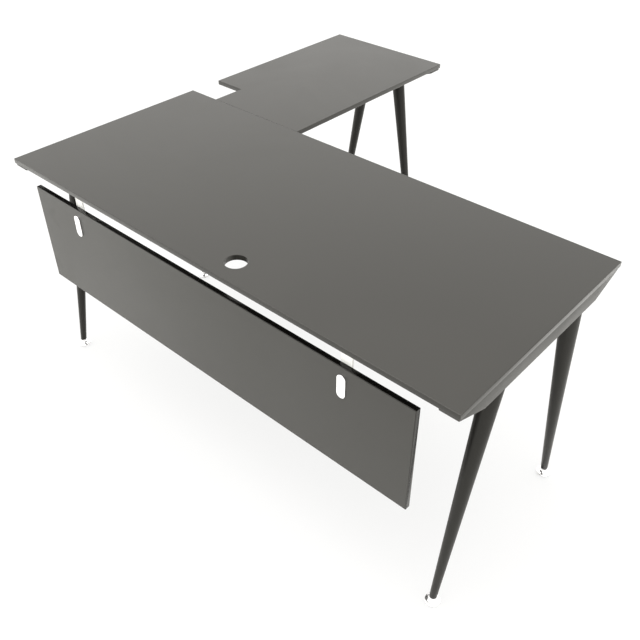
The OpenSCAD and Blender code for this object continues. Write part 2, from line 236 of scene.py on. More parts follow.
def addNode(tree, kind, **settings):
    # settings are the node's own properties; a setting that starts with in_ fills or links an input
    node = tree.nodes.new(kind)
    for key, value in settings.items():
        if not key.startswith("in_"):
            setattr(node, key, value)
    for key, value in settings.items():
        if key.startswith("in_"):
            name = key[3:]
            socket = node.inputs[int(name)] if name.isdigit() else node.inputs[name.replace("_", " ")]
            if isinstance(value, bpy.types.NodeSocket):
                tree.links.new(value, socket)
            else:
                socket.default_value = value
    return node


def fineGrainGroup():
    # a pebbled surface: rounded cells broken up by finer noise
    group, start, end = newGroup(
        "fineGrain",
        [("Vector", "NodeSocketVector", None), ("Scale", "NodeSocketFloat", 900.0)],
        [("Height", "NodeSocketFloat"), ("Tint", "NodeSocketFloat")],
    )
    finer = addNode(group, "ShaderNodeMath", operation="MULTIPLY", in_0=start.outputs["Scale"], in_1=2.7)
    cells = addNode(group, "ShaderNodeTexVoronoi", feature="SMOOTH_F1", in_Vector=start.outputs["Vector"],
                    in_Scale=start.outputs["Scale"], in_Smoothness=0.6)
    dust = addNode(group, "ShaderNodeTexNoise", in_Vector=start.outputs["Vector"],
                   in_Scale=finer.outputs[0], in_Detail=3.0, in_Roughness=0.55)
    blend = addNode(group, "ShaderNodeMix", in_0=0.45, in_2=cells.outputs["Distance"],
                    in_3=dust.outputs["Fac"])
    tint = addNode(group, "ShaderNodeMapRange", in_0=dust.outputs["Fac"], in_1=0.3, in_2=0.7)
    group.links.new(blend.outputs[0], end.inputs["Height"])
    group.links.new(tint.outputs[0], end.inputs["Tint"])
    return group


def handlingGroup():
    # wide soft patches from wiping and hands, with a few fine hairline marks
    group, start, end = newGroup(
        "handling",
        [("Vector", "NodeSocketVector", None), ("Patch Scale", "NodeSocketFloat", 3.0)],
        [("Patches", "NodeSocketFloat"), ("Hairlines", "NodeSocketFloat")],
    )
    patches = addNode(group, "ShaderNodeTexNoise", in_Vector=start.outputs["Vector"], in_Detail=4.0,
                      in_Scale=start.outputs["Patch Scale"], in_Roughness=0.6, in_Distortion=0.6)
    spread = addNode(group, "ShaderNodeMapRange", in_0=patches.outputs["Fac"], in_1=0.3, in_2=0.72)
    stretch = addNode(group, "ShaderNodeMapping", in_Vector=start.outputs["Vector"],
                      in_Rotation=(0.0, 0.0, 0.5), in_Scale=(4.0, 160.0, 4.0))
    marks = addNode(group, "ShaderNodeTexNoise", in_Vector=stretch.outputs[0], in_Scale=2.0, in_Detail=2.0)
    thin = addNode(group, "ShaderNodeMapRange", in_0=marks.outputs["Fac"], in_1=0.68, in_2=0.76)
    group.links.new(spread.outputs[0], end.inputs["Patches"])
    group.links.new(thin.outputs[0], end.inputs["Hairlines"])
    return group


def arrisWearAndHighlightGroup():
    # rubbed arrises with a painted highlight: the marked narrow faces are made lighter, broken up so that
    # the rubbing and the highlight are uneven
    group, start, end = newGroup(
        "arrisWearAndHighlight",
        [("Vector", "NodeSocketVector", None), ("Amount", "NodeSocketFloat", 0.5)],
        [("Wear", "NodeSocketFloat")],
    )
    marked = addNode(group, "ShaderNodeAttribute", attribute_name="arris")
    noise = addNode(group, "ShaderNodeTexNoise", in_Vector=start.outputs["Vector"], in_Scale=35.0,
                    in_Detail=5.0, in_Roughness=0.65)
    uneven = addNode(group, "ShaderNodeMapRange", in_0=noise.outputs["Fac"], in_1=0.3, in_2=0.7, in_3=0.35)
    rubbedAndHighlit = addNode(group, "ShaderNodeMath", operation="MULTIPLY", in_0=marked.outputs["Fac"],
                     in_1=uneven.outputs[0])
    amount = addNode(group, "ShaderNodeMath", operation="MULTIPLY", in_0=rubbedAndHighlit.outputs[0],
                     in_1=start.outputs["Amount"])
    group.links.new(amount.outputs[0], end.inputs["Wear"])
    return group


fineGrain = fineGrainGroup()
handling = handlingGroup()
arrisWearAndHighlight = arrisWearAndHighlightGroup()


# finishes

def startMaterial(name):
    material = bpy.data.materials.new(name)
    material.use_nodes = True
    tree = material.node_tree
    tree.nodes.clear()
    out = tree.nodes.new("ShaderNodeOutputMaterial")
    surface = tree.nodes.new("ShaderNodeBsdfPrincipled")
    tree.links.new(surface.outputs[0], out.inputs["Surface"])
    place = tree.nodes.new("ShaderNodeTexCoord").outputs["Object"]
    return material, tree, surface, place


def placeGroup(tree, group, place, **values):
    node = tree.nodes.new("ShaderNodeGroup")
    node.node_tree = group
    tree.links.new(place, node.inputs["Vector"])
    for label, value in values.items():
        node.inputs[label.replace("_", " ")].default_value = value
    return node


def satinCoat(name, finish):
    # one way to build every coated surface: faced board, edge bands, powder coats and white coat
    material, tree, surface, place = startMaterial(name)
    grain = placeGroup(tree, fineGrain, place, Scale=finish["grainScale"])
    hands = placeGroup(tree, handling, place, Patch_Scale=finish["patchScale"])
    worn = placeGroup(tree, arrisWearAndHighlight, place, Amount=finish["wear"])
    base = addNode(tree, "ShaderNodeMix", data_type="RGBA", in_0=grain.outputs["Tint"],
                   in_6=finish["dark"] + (1,), in_7=finish["light"] + (1,))
    cloudy = addNode(tree, "ShaderNodeMix", data_type="RGBA", blend_type="MULTIPLY",
                     in_0=finish["cloud"], in_6=base.outputs[2])
    greys = addNode(tree, "ShaderNodeMapRange", in_0=hands.outputs["Patches"], in_3=0.75, in_4=1.0)
    tree.links.new(greys.outputs[0], cloudy.inputs[7])
    # the arrises are coloured lighter than the face: partly wear, partly a painted highlight along the
    # edges
    rubbedAndHighlit = addNode(tree, "ShaderNodeMix", data_type="RGBA", in_0=worn.outputs["Wear"],
                     in_6=cloudy.outputs[2], in_7=finish["rubbedAndHighlit"] + (1,))
    tree.links.new(rubbedAndHighlit.outputs[2], surface.inputs["Base Color"])

    low, high = finish["roughness"]
    satin = addNode(tree, "ShaderNodeMapRange", in_0=hands.outputs["Patches"], in_3=low, in_4=high)
    speck = addNode(tree, "ShaderNodeMath", operation="MULTIPLY_ADD", in_0=grain.outputs["Tint"],
                    in_1=0.05, in_2=satin.outputs[0])
    scored = addNode(tree, "ShaderNodeMath", operation="MULTIPLY_ADD", in_0=hands.outputs["Hairlines"],
                     in_1=finish["hairlines"], in_2=speck.outputs[0])
    polished = addNode(tree, "ShaderNodeMath", operation="MULTIPLY_ADD", in_0=worn.outputs["Wear"],
                       in_1=-0.12, in_2=scored.outputs[0])
    tree.links.new(polished.outputs[0], surface.inputs["Roughness"])

    relief = addNode(tree, "ShaderNodeBump", in_Strength=finish["bump"], in_Distance=finish["relief"],
                     in_Height=grain.outputs["Height"])
    tree.links.new(relief.outputs[0], surface.inputs["Normal"])
    surface.inputs["IOR"].default_value = finish["ior"]
    surface.inputs["Specular IOR Level"].default_value = finish["specular"]
    surface.inputs["Specular Tint"].default_value = finish["sheenTint"] + (1,)
    return material


# each finish's arris colour is lighter than its face: partly wear, partly a painted highlight along the
# edges
boardFinish = {
    "dark": (0.006, 0.0056, 0.0046), "light": (0.014, 0.0132, 0.0112), "rubbedAndHighlit": (0.04, 0.038, 0.034),
    "grainScale": 1400.0, "patchScale": 2.4, "cloud": 0.35, "wear": 0.5,
    "roughness": (0.3, 0.36), "hairlines": 0.05, "bump": 0.12, "relief": 0.00012,
    "ior": 1.5, "specular": 0.5, "sheenTint": (1.0, 0.985, 0.94),
}
bandFinish = {
    "dark": (0.003, 0.0028, 0.0023), "light": (0.007, 0.0066, 0.0056), "rubbedAndHighlit": (0.03, 0.0285, 0.026),
    "grainScale": 900.0, "patchScale": 5.0, "cloud": 0.3, "wear": 0.6,
    "roughness": (0.26, 0.34), "hairlines": 0.04, "bump": 0.1, "relief": 0.0001,
    "ior": 1.5, "specular": 0.5, "sheenTint": (1.0, 0.985, 0.94),
}
powderFinish = {
    "dark": (0.006, 0.0057, 0.005), "light": (0.018, 0.0172, 0.0155), "rubbedAndHighlit": (0.05, 0.048, 0.044),
    "grainScale": 420.0, "patchScale": 6.0, "cloud": 0.3, "wear": 0.45,
    "roughness": (0.4, 0.48), "hairlines": 0.0, "bump": 0.4, "relief": 0.0004,
    "ior": 1.5, "specular": 0.5, "sheenTint": (1.0, 0.985, 0.94),
}
legFinish = dict(powderFinish, dark=(0.005, 0.0047, 0.0041), light=(0.015, 0.0142, 0.0126),
                 roughness=(0.32, 0.4), specular=0.22)
# a darker, less reflective copy of the edge band for the modesty panel: painted shade, so that the panel's
# top edge reads black under the desk top
panelBandPaintedShade = dict(bandFinish, dark=(0.001, 0.0009, 0.0008), light=(0.003, 0.0028, 0.0025),
                       roughness=(0.18, 0.24), specular=0.32)

boardFace = satinCoat("boardFace", boardFinish)
edgeBand = satinCoat("edgeBand", bandFinish)
panelEdgeBandPaintedShade = satinCoat("panelEdgeBandPaintedShade", panelBandPaintedShade)
powderCoat = satinCoat("powderCoat", powderFinish)
legCoat = satinCoat("legCoat", legFinish)


def brightMetal(name, finish):
    # plated or bare bright metal with a drawn grain and soft tarnish
    material, tree, surface, place = startMaterial(name)
    hands = placeGroup(tree, handling, place, Patch_Scale=finish["patchScale"])
    worn = placeGroup(tree, arrisWearAndHighlight, place, Amount=0.6)
    drawn = addNode(tree, "ShaderNodeMapping", in_Vector=place, in_Scale=finish["drawn"])
    lines = addNode(tree, "ShaderNodeTexNoise", in_Vector=drawn.outputs[0], in_Scale=1.0, in_Detail=4.0,
                    in_Roughness=0.6)
    tarnish = addNode(tree, "ShaderNodeMix", data_type="RGBA", in_0=hands.outputs["Patches"],
                      in_6=finish["dull"] + (1,), in_7=finish["bright"] + (1,))
    rubbedAndHighlit = addNode(tree, "ShaderNodeMix", data_type="RGBA", in_0=worn.outputs["Wear"],
                     in_6=tarnish.outputs[2], in_7=finish["bright"] + (1,))
    tree.links.new(rubbedAndHighlit.outputs[2], surface.inputs["Base Color"])
    low, high = finish["roughness"]
    level = addNode(tree, "ShaderNodeMapRange", in_0=lines.outputs["Fac"], in_1=0.3, in_2=0.7,
                    in_3=low, in_4=high)
    dulled = addNode(tree, "ShaderNodeMath", operation="MULTIPLY_ADD", in_0=hands.outputs["Patches"],
                     in_1=finish["smear"], in_2=level.outputs[0])
    tree.links.new(dulled.outputs[0], surface.inputs["Roughness"])
    relief = addNode(tree, "ShaderNodeBump", in_Strength=finish["bump"], in_Distance=0.0001,
                     in_Height=lines.outputs["Fac"])
    tree.links.new(relief.outputs[0], surface.inputs["Normal"])
    surface.inputs["Metallic"].default_value = 1.0
    return material


chromePlate = brightMetal("chromePlate", {
    "dull": (0.8, 0.8, 0.81), "bright": (0.93, 0.93, 0.94), "patchScale": 40.0,
    "drawn": (900.0, 900.0, 300.0), "roughness": (0.17, 0.26), "smear": 0.05, "bump": 0.05,
})
zincPlate = brightMetal("zincPlate", {
    "dull": (0.46, 0.46, 0.44), "bright": (0.66, 0.66, 0.65), "patchScale": 90.0,
    "drawn": (500.0, 500.0, 500.0), "roughness": (0.26, 0.42), "smear": 0.1, "bump": 0.08,
})
whiteCoat = satinCoat("whiteCoat", {
    "dark": (0.74, 0.74, 0.72), "light": (0.82, 0.82, 0.80), "rubbedAndHighlit": (0.86, 0.86, 0.84),
    "grainScale": 620.0, "patchScale": 30.0, "cloud": 0.1, "wear": 0.3,
    "roughness": (0.32, 0.4), "hairlines": 0.03, "bump": 0.15, "relief": 0.0002,
    "ior": 1.5, "specular": 0.5, "sheenTint": (1.0, 1.0, 1.0),
})


def rubberMaterial():
    material, tree, surface, place = startMaterial("soleRubber")
    grain = placeGroup(tree, fineGrain, place, Scale=1100.0)
    tone = addNode(tree, "ShaderNodeMix", data_type="RGBA", in_0=grain.outputs["Tint"],
                   in_6=(0.012, 0.012, 0.012, 1), in_7=(0.035, 0.034, 0.032, 1))
    matt = addNode(tree, "ShaderNodeMapRange", in_0=grain.outputs["Tint"], in_3=0.72, in_4=0.88)
    relief = addNode(tree, "ShaderNodeBump", in_Strength=0.4, in_Distance=0.0003,
                     in_Height=grain.outputs["Height"])
    tree.links.new(tone.outputs[2], surface.inputs["Base Color"])
    tree.links.new(matt.outputs[0], surface.inputs["Roughness"])
    tree.links.new(relief.outputs[0], surface.inputs["Normal"])
    return material


soleRubber = rubberMaterial()
print("finishes made")


def solidsOf(node):
    # centre and size of each separate solid in a CAD node, from a merged copy that is thrown away
    twin = frame["nodes"][node].data.copy()
    shape = bmesh.new()
    shape.from_mesh(twin)
    bmesh.ops.remove_doubles(shape, verts=shape.verts, dist=1e-6)
    found = []
    seen = set()
    for start in shape.verts:
        if start in seen:
            continue
        group = []
        queue = [start]
        seen.add(start)
        while queue:
            corner = queue.pop()
            group.append(corner.co.copy())
            for edge in corner.link_edges:
                other = edge.other_vert(corner)
                if other not in seen:
                    seen.add(other)
                    queue.append(other)
        low = Vector(min(p[i] for p in group) for i in range(3))
        high = Vector(max(p[i] for p in group) for i in range(3))
        found.append(((low + high) / 2, high - low))
    shape.free()
    bpy.data.meshes.remove(twin)
    return found


# boards and their edge bands

boards = {"arris": 0.0011, "segments": 3, "band": 0.002, "glueLine": 0.0002, "worn": 0.0004}


def bandRing(solid, axis):
    # a solid board becomes a thin ring: rounded outside, open where the board sits
    bevelEdges(solid, boards["arris"], boards["segments"])
    halfFace = max(abs(face.normal[axis]) * face.area for face in solid.data.polygons) * 0.5
    pick(solid, "FACE", lambda face: abs(face.normal[axis]) > 0.99 and face.calc_area() > halfFace)
    bpy.ops.mesh.inset(thickness=boards["band"] - boards["arris"], use_even_offset=True)
    bpy.ops.mesh.delete(type="FACE")
    bpy.ops.mesh.select_mode(type="EDGE")
    bpy.ops.mesh.select_all(action="DESELECT")
    shape = bmesh.from_edit_mesh(solid.data)
    for edge in shape.edges:
        if edge.is_boundary:
            edge.select_set(True)
    bmesh.update_edit_mesh(solid.data)
    bpy.ops.mesh.bridge_edge_loops()
    leaveEdit()
    return solid


def facedBoard(board, node):
    # the face stays sharp but for a glue line's width
    bevelEdges(board, boards["glueLine"], 1)
    return finishPiece(board, boardFace, [node], arrisWidth=boards["worn"])


# main top: faced board with a drilled cable hole
mainBoard = startBlock("mainTopBoard", *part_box("main_top"))
cableHole = next(m for m in frame["record"]["mounts"] if m["name"] == "cable_hole")
holeRadius = cableHole["dims"]["r_mm"] / 1000
cutWith(mainBoard, [startRod("cableDrill", cableHole["pos_m"], holeRadius, 0.05, sides=96)])
facedBoard(mainBoard, "main_top")
mainBand = bandRing(startBlock("mainTopBand", *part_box("main_top_edging")), 2)
finishPiece(mainBand, edgeBand, ["main_top_edging"])

# return top: the corner by the main top is notched for cables
notch = {"side": 0.120, "sawSpare": 0.01}
returnLow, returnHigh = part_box("return_top_edging")
spare = Vector((1, 1, 1)) * notch["sawSpare"]
notchLow = returnLow - spare
notchHigh = Vector((returnLow.x + notch["side"], returnLow.y + notch["side"], returnHigh.z + spare.z))


def notched(name, low, high, grow):
    block = startBlock(name, low, high)
    saw = startBlock("saw", notchLow, notchHigh + Vector((grow, grow, 0)))
    return cutWith(block, [saw])


facedBoard(notched("returnTopBoard", *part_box("return_top"), boards["band"]), "return_top")
returnBand = bandRing(notched("returnTopBand", returnLow, returnHigh, 0), 2)
finishPiece(returnBand, edgeBand, ["return_top_edging"])

# modesty panel
panelLow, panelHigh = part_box("modesty_panel")
panelBoard = startBlock("modestyPanelBoard", panelLow, panelHigh)
coverBoxes = [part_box("panel_cover_left"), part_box("panel_cover_right")]
covers = {"width": 0.025, "height": 0.068, "thickness": 0.004, "dome": 0.0012, "worn": 0.0006,
          "studPitch": 0.036, "studRadius": 0.0025, "studHole": 0.00275, "studArris": 0.0005}
studSpots = [
    Vector(((low.x + high.x) / 2, 0, (low.z + high.z) / 2 + side * covers["studPitch"] / 2))
    for low, high in coverBoxes for side in (-1, 1)
]
cutWith(panelBoard, [
    drillBit((spot.x, panelLow.y, spot.z), covers["studHole"], "Y", 0.06) for spot in studSpots
])
facedBoard(panelBoard, "modesty_panel")
panelBand = bandRing(startBlock("modestyPanelBand", *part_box("modesty_panel_edging")), 1)
# the panel's band takes the darker copy of the edge band: painted shade under the desk top
finishPiece(panelBand, panelEdgeBandPaintedShade, ["modesty_panel_edging"])
print("boards and bands made")


# hangers and cover plates

hangers = {"thickness": 0.005, "bend": 0.007, "arris": 0.0005, "corner": 0.004, "screwHole": 0.0026,
           "worn": 0.0008}


def panelHanger():
    # an upright strap whose upper end is drawn out backwards, rounded at the bend, and drilled
    low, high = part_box("panel_hanger_left")
    bendY = low.y + hangers["thickness"]
    bendZ = high.z - hangers["thickness"]
    middle = (low.x + high.x) / 2

    def outerBend(edge):
        return all(v.co.z > high.z - hair and v.co.y < low.y + hair for v in edge.verts)

    def innerBend(edge):
        return all(abs(v.co.y - bendY) < hair and abs(v.co.z - bendZ) < hair for v in edge.verts)

    def endCorner(edge):
        lowest = min(v.co.z for v in edge.verts)
        atBack = lowest > bendZ - hangers["thickness"] and min(v.co.y for v in edge.verts) > high.y - hair
        atFoot = max(v.co.z for v in edge.verts) < low.z + hair
        return runOf(edge)[0] < hair and (atBack or atFoot)

    strap = startBlock("hangerStrap", low, (high.x, bendY, high.z))
    bpy.ops.object.mode_set(mode="EDIT")
    bpy.ops.mesh.select_all(action="SELECT")
    bpy.ops.mesh.bisect(plane_co=(0, 0, bendZ), plane_no=(0, 0, 1))
    leaveEdit()
    pick(strap, "FACE", lambda f: f.normal.y > 0.9 and middleOf(f).z > bendZ)
    bpy.ops.mesh.extrude_region_move(TRANSFORM_OT_translate={"value": (0, high.y - bendY, 0)})
    leaveEdit()
    pick(strap, "EDGE", outerBend)
    bpy.ops.mesh.bevel(offset=hangers["bend"], segments=6)
    leaveEdit()
    pick(strap, "EDGE", innerBend)
    bpy.ops.mesh.bevel(offset=hangers["bend"] - hangers["thickness"], segments=4)
    leaveEdit()
    pick(strap, "EDGE", endCorner)
    bpy.ops.mesh.bevel(offset=hangers["corner"], segments=4)
    leaveEdit()
    drills = [
        drillBit((middle, low.y, spot.z), covers["studHole"], "Y")
        for spot in studSpots if abs(spot.x - middle) < 0.01
    ]
    drills += [
        drillBit((middle, centre.y, high.z), hangers["screwHole"])
        for centre, size in solidsOf("hanger_screws") if abs(centre.x - middle) < 0.01
    ]
    cutWith(strap, drills)
    bevelEdges(strap, hangers["arris"], 2, 50)
    return strap


def coverPlate():
    # a disc is pulled apart into a round-ended plate, then domed, with two studs behind
    low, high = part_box("panel_cover_left")
    middle = (low + high) / 2
    plateMiddle = Vector((middle.x, low.y + covers["thickness"] / 2, middle.z))
    plate = startRod("coverPlate", plateMiddle, covers["width"] / 2, covers["thickness"], "Y", 64)
    straight = (covers["height"] - covers["width"]) / 2
    for side in (1, -1):
        pick(plate, "VERT", lambda v: (v.co.z - middle.z) * side > hair)
        bpy.ops.transform.translate(value=(0, 0, side * straight))
        leaveEdit()
    pick(plate, "FACE", lambda f: f.normal.y < -0.9)
    bpy.ops.mesh.inset(thickness=covers["dome"] * 2)
    bpy.ops.transform.translate(value=(0, -covers["dome"] * 0.25, 0))
    leaveEdit()
    plate.data.transform(Matrix.Translation((0, covers["dome"] * 0.25, 0)))
    bevelEdges(plate, covers["dome"] * 0.6, 3, 20)
    studs = []
    for side in (-1, 1):
        start = low.y + covers["thickness"] * 0.5
        spot = (middle.x, (start + high.y) / 2, middle.z + side * covers["studPitch"] / 2)
        stud = startRod("stud", spot, covers["studRadius"], high.y - start, "Y", 24)
        bevelEdges(stud, covers["studArris"], 2)
        studs.append(stud)
    return joinInto(plate, studs)


def leftAndRight(name, node):
    # the left one stays where it was made, and the right one is as far off as its node is
    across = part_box(node + "_right")[0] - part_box(node + "_left")[0]
    return [(name + "Left", node + "_left", Matrix()),
            (name + "Right", node + "_right", Matrix.Translation(across))]


hangerRows = leftAndRight("panelHanger", "panel_hanger")
finishCopies(panelHanger(), hangerRows, whiteCoat, hangers["worn"])
coverRows = leftAndRight("panelCover", "panel_cover")
finishCopies(coverPlate(), coverRows, chromePlate, covers["worn"])
print("hangers and cover plates made")


# end rails: folded sheet with sloping ends

rails = {"width": 0.050, "height": 0.048, "tip": 0.008, "slope": 0.103, "sheet": 0.002, "fold": 0.0022,
         "arris": 0.0004, "worn": 0.0011, "boltHole": 0.0042, "boltDrop": 0.015, "boltPitch": 0.024}
lugs = {"width": 0.030, "length": 0.022, "sheet": 0.003, "corner": 0.005, "hole": 0.012,
        "holeRadius": 0.0026}


def lug(u, v, side, top, root):
    # a tab with a screw hole; side is the way it points along the second axis, root is what the wall hides
    halfWidth = lugs["width"] / 2
    far = v + side * (lugs["length"] + root)
    near, deep = sorted((v, far))
    tab = startBlock("lug", (u - halfWidth, near, top - lugs["sheet"]), (u + halfWidth, deep, top))
    pick(tab, "EDGE", lambda e: all(abs(p.co.y - far) < hair for p in e.verts) and runOf(e)[2] > hair)
    bpy.ops.mesh.bevel(offset=lugs["corner"], segments=5)
    leaveEdit()
    return cutWith(tab, [drillBit((u, v + side * (lugs["hole"] + root), top), lugs["holeRadius"])])


def endRail(name, node, turn, corner, lugSpots, legSpots, boltSpots):
    # drawn along X with its outer face on Y = 0, then turned and moved to its corner
    low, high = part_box(node)
    length = (high - low)[1 if abs(turn) == 90 else 0]
    top = high.z
    bottom = top - rails["height"]

    def bottomEnd(vert):
        return vert.co.z < bottom + hair and not hair < vert.co.x < length - hair

    def fold(edge):
        x = edge.verts[0].co.x
        straightUp = runOf(edge)[0] < hair and runOf(edge)[1] < hair
        return not edge.is_boundary and not (straightUp and 0.01 < x < length - 0.01)

    channel = startBlock(name, (0, 0, bottom), (length, rails["width"], top))
    bpy.ops.object.mode_set(mode="EDIT")
    for cut in (rails["slope"], length - rails["slope"]):
        bpy.ops.mesh.select_all(action="SELECT")
        bpy.ops.mesh.bisect(plane_co=(cut, 0, 0), plane_no=(1, 0, 0))
    leaveEdit()
    pick(channel, "VERT", bottomEnd)
    bpy.ops.transform.translate(value=(0, 0, rails["height"] - rails["tip"]))
    leaveEdit()
    pick(channel, "FACE", lambda f: f.normal.z > 0.9)
    bpy.ops.mesh.delete(type="FACE")
    leaveEdit()
    pick(channel, "EDGE", fold)
    bpy.ops.mesh.bevel(offset=rails["fold"], segments=4)
    leaveEdit()
    giveWall(channel, rails["sheet"])
    drills = [
        drillBit((u + side * rails["boltPitch"] / 2, rails["width"] / 2, bottom), rails["boltHole"])
        for u in legSpots for side in (-1, 1)
    ]
    boltZ = top - rails["boltDrop"]
    drills += [drillBit((u, rails["width"], boltZ), rails["boltHole"], "Y") for u in boltSpots]
    cutWith(channel, drills)
    wall = rails["sheet"] / 2
    joinInto(channel, [lug(u, rails["width"] - wall, 1, top, wall) for u in lugSpots])
    bevelEdges(channel, rails["arris"], 2, 50)
    channel.data.transform(Matrix.Translation(corner) @ Matrix.Rotation(math.radians(turn), 4, "Z"))
    return finishPiece(channel, powderCoat, [node], arrisWidth=rails["worn"])


legInset = 0.176  # from a rail's end to the middle of a leg's upper end
rowWidth = 0.002  # screws this near a line belong to its row
boltCentres = [centre for centre, size in solidsOf("beam_bolts")]
screwCentres = [centre for centre, size in solidsOf("top_screws")]

leftLow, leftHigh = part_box("end_rail_left")
rightLow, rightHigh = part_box("end_rail_right")
backLow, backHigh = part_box("return_end_rail")
mainLength = rightHigh.y - rightLow.y
backLength = backHigh.x - backLow.x


def nearRail(points, axis, place, reach=0.035):
    return [p for p in points if abs(p[axis] - place) < reach]


rightEdge = rightHigh.x - rails["width"]
leftEdge = leftLow.x + rails["width"]
backEdge = backHigh.y - rails["width"]
endRail("endRailRight", "end_rail_right", 90, (rightHigh.x, rightLow.y, 0),
        [p.y - rightLow.y for p in nearRail(screwCentres, 0, rightEdge - lugs["hole"], rowWidth)],
        [legInset, mainLength - legInset],
        [p.y - rightLow.y for p in nearRail(boltCentres, 0, rightEdge)])
endRail("endRailLeft", "end_rail_left", -90, (leftLow.x, leftHigh.y, 0),
        [leftHigh.y - p.y for p in nearRail(screwCentres, 0, leftEdge + lugs["hole"], rowWidth)],
        [legInset, mainLength - legInset],
        [leftHigh.y - p.y for p in nearRail(boltCentres, 0, leftEdge)])
endRail("returnEndRail", "return_end_rail", 180, (backHigh.x, backHigh.y, 0),
        [backHigh.x - p.x for p in nearRail(screwCentres, 1, backEdge - lugs["hole"], rowWidth)],
        [legInset, backLength - legInset],
        [backHigh.x - p.x for p in nearRail(boltCentres, 1, backEdge)])
print("end rails made")


# legs

legs = {"topRadius": 0.025, "endRadius": 0.010, "wall": 0.002, "lean": 0.1145, "spare": 0.03,
        "sides": 72, "arris": 0.0006, "worn": 0.0004}
legTurns = {  # degrees from the leg that leans along Y
    "front_left": 0, "front_right": 0, "rear_left": 180, "rear_right": 180,
    "return_left": -90, "return_right": 90,
}


def labelOf(corner):
    return "".join(word.capitalize() for word in corner.split("_"))


def conicalLeg(low, high):
    # a long cone is laid along the leg's leaning axis, trimmed level at both ends and hollowed
    foot = Vector((0, 0, low))
    head = Vector((0, legs["lean"], high))
    axis = (head - foot).normalized()
    length = (head - foot).length
    growth = (legs["topRadius"] - legs["endRadius"]) / length * legs["spare"]
    clearSelection()
    bpy.ops.mesh.primitive_cone_add(
        vertices=legs["sides"], radius1=legs["endRadius"] - growth, radius2=legs["topRadius"] + growth,
        depth=length + 2 * legs["spare"], location=(foot + head) / 2,
        rotation=axis.to_track_quat("Z", "Y").to_euler(),
    )
    cone = settle("conicalLeg")
    bpy.ops.object.mode_set(mode="EDIT")
    bpy.ops.mesh.select_all(action="SELECT")
    bpy.ops.mesh.bisect(plane_co=(0, 0, low), plane_no=(0, 0, 1), clear_inner=True)
    bpy.ops.mesh.select_all(action="SELECT")
    bpy.ops.mesh.bisect(plane_co=(0, 0, high), plane_no=(0, 0, 1), clear_outer=True)
    leaveEdit()
    giveWall(cone, legs["wall"])
    bevelEdges(cone, legs["arris"], 2, 50)
    return cone


def underLeg(corner):
    # the point on the floor under a leg's lower end
    low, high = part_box("pad_" + corner)
    return Vector(((low.x + high.x) / 2, (low.y + high.y) / 2, 0))


legRows = [
    ("leg" + labelOf(corner), "leg_" + corner,
     Matrix.Translation(underLeg(corner)) @ Matrix.Rotation(math.radians(turn), 4, "Z"))
    for corner, turn in legTurns.items()
]
legLow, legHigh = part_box("leg_front_left")
finishCopies(conicalLeg(legLow.z, legHigh.z), legRows, legCoat, legs["worn"])
print("legs made")


# levelling feet

def turned(name, profile, sides=64):
    # a disc raised ring by ring about the vertical axis at zero; the profile lists radius and height
    clearSelection()
    radius, height = profile[0]
    bpy.ops.mesh.primitive_circle_add(
        vertices=sides, radius=radius, fill_type="NGON", location=(0, 0, height)
    )
    piece = settle(name)
    bpy.ops.object.mode_set(mode="EDIT")
    bpy.ops.mesh.select_all(action="SELECT")
    for before, after in zip(profile, profile[1:]):
        bpy.ops.mesh.extrude_region_move(TRANSFORM_OT_translate={"value": (0, 0, after[1] - before[1])})
        grow = after[0] / before[0]
        bpy.ops.transform.resize(value=(grow, grow, 1), center_override=(0, 0, after[1]))
    bpy.ops.mesh.select_all(action="SELECT")
    bpy.ops.mesh.normals_make_consistent(inside=False)
    leaveEdit()
    return piece


def roundedRim(centreR, centreZ, radius, fromDeg, toDeg, steps):
    points = []
    for step in range(steps + 1):
        angle = math.radians(fromDeg + (toDeg - fromDeg) * step / steps)
        points.append((centreR + radius * math.cos(angle), centreZ + radius * math.sin(angle)))
    return points


feet = {
    "rim": 0.022, "rimRound": 0.004, "neck": 0.008, "sole": 0.017,
    "stud": 0.004, "pitch": 0.00125, "threadDepth": 0.0007, "threadEnd": 0.001,
    # the pad's flare: radius, and height over the rim
    "flare": ((0.0165, 0.0003), (0.013, 0.0016), (0.0105, 0.0028), (0.0092, 0.0042), (0.0082, 0.0056),
              (0.008, 0.007)),
    # the sole's tread: share of its radius, and height
    "tread": ((0.25, 0.0008), (0.33, 0), (0.5, 0), (0.54, 0.0008), (0.62, 0.0008), (0.66, 0)),
}
noArrisMark = 0.0001  # too narrow for a face, so that none is marked as an arris


def padProfile(bottom, top):
    rimMiddle = feet["rim"] - feet["rimRound"]
    profile = [(feet["sole"] * 0.6, bottom), (rimMiddle - 0.001, bottom)]
    profile += roundedRim(rimMiddle, bottom + feet["rimRound"], feet["rimRound"], -80, 80, 10)
    shoulderZ = bottom + 2 * feet["rimRound"]
    profile += [(radius, shoulderZ + rise) for radius, rise in feet["flare"]]
    profile += [(feet["neck"], top - 0.0008), (feet["neck"] - 0.0002, top - 0.0003)]
    profile += [(feet["neck"] - 0.0008, top), (feet["stud"] + 0.0001, top)]
    return profile


